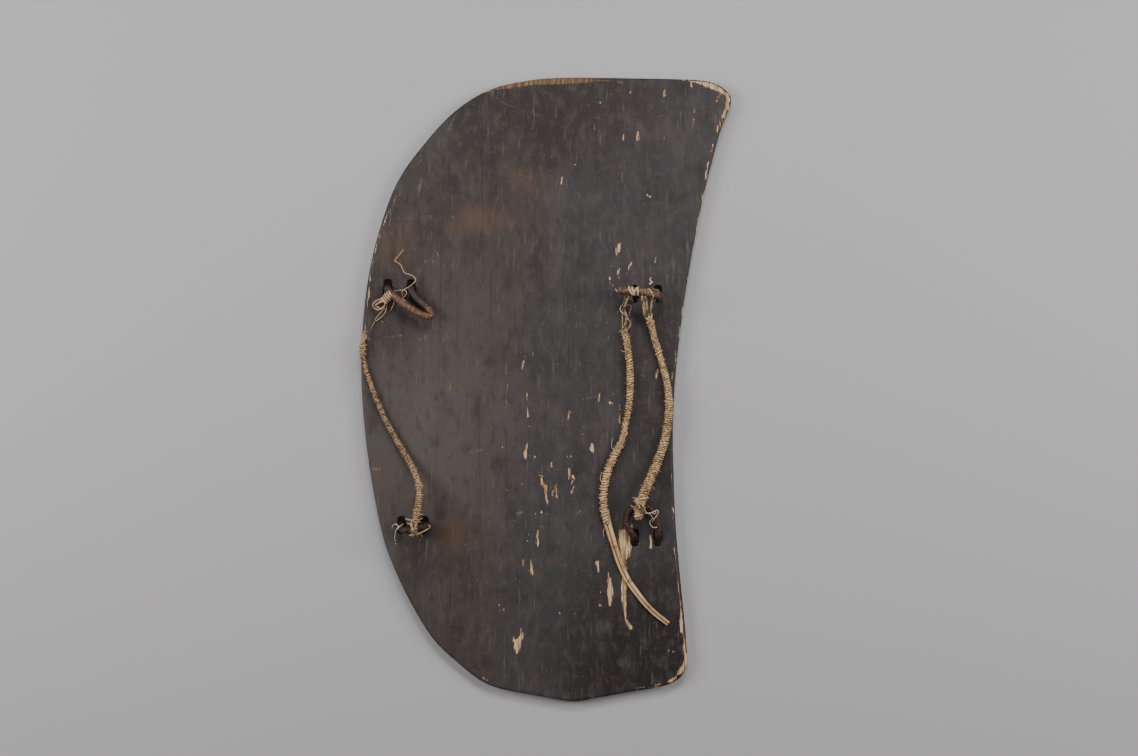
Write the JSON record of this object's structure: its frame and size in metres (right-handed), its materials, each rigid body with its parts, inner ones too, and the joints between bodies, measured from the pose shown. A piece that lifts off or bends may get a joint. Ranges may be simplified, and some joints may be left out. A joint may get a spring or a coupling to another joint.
{
  "type": "war shield",
  "caption": "Crescent-shaped plank war shield lying with its back up, with cane carrying loops through paired slots and stiff bound cane straps.",
  "frame": {"origin": "on the resting plane, under the middle of the board's width and height", "axes": "+X across the shield towards its hollow side, +Y up its height, +Z out of its back"},
  "size_m": [0.5957, 1, 0.078],
  "materials": {
    "board_wood": "smoke-dark hand-worked plank, low sheen, pale where chipped",
    "loop_cane": "red-brown cane, handled smooth",
    "strap_cane": "pale split cane, matt"
  },
  "bodies": {
    "root": {"board": "board_wood", "loop_upper_left": "loop_cane", "loop_upper_right": "loop_cane", "loop_lower_left": "loop_cane", "loop_lower_right": "loop_cane", "strap_left": "strap_cane", "strap_right_inner": "strap_cane", "strap_right_outer": "strap_cane", "strand_left": "strap_cane", "strand_middle": "strap_cane", "strand_right": "strap_cane", "inner_strap_tie": "strap_cane", "tie_lower_left": "strap_cane", "tie_lower_right": "strap_cane", "binding_remnant": "strap_cane"}
  },
  "joints": []
}
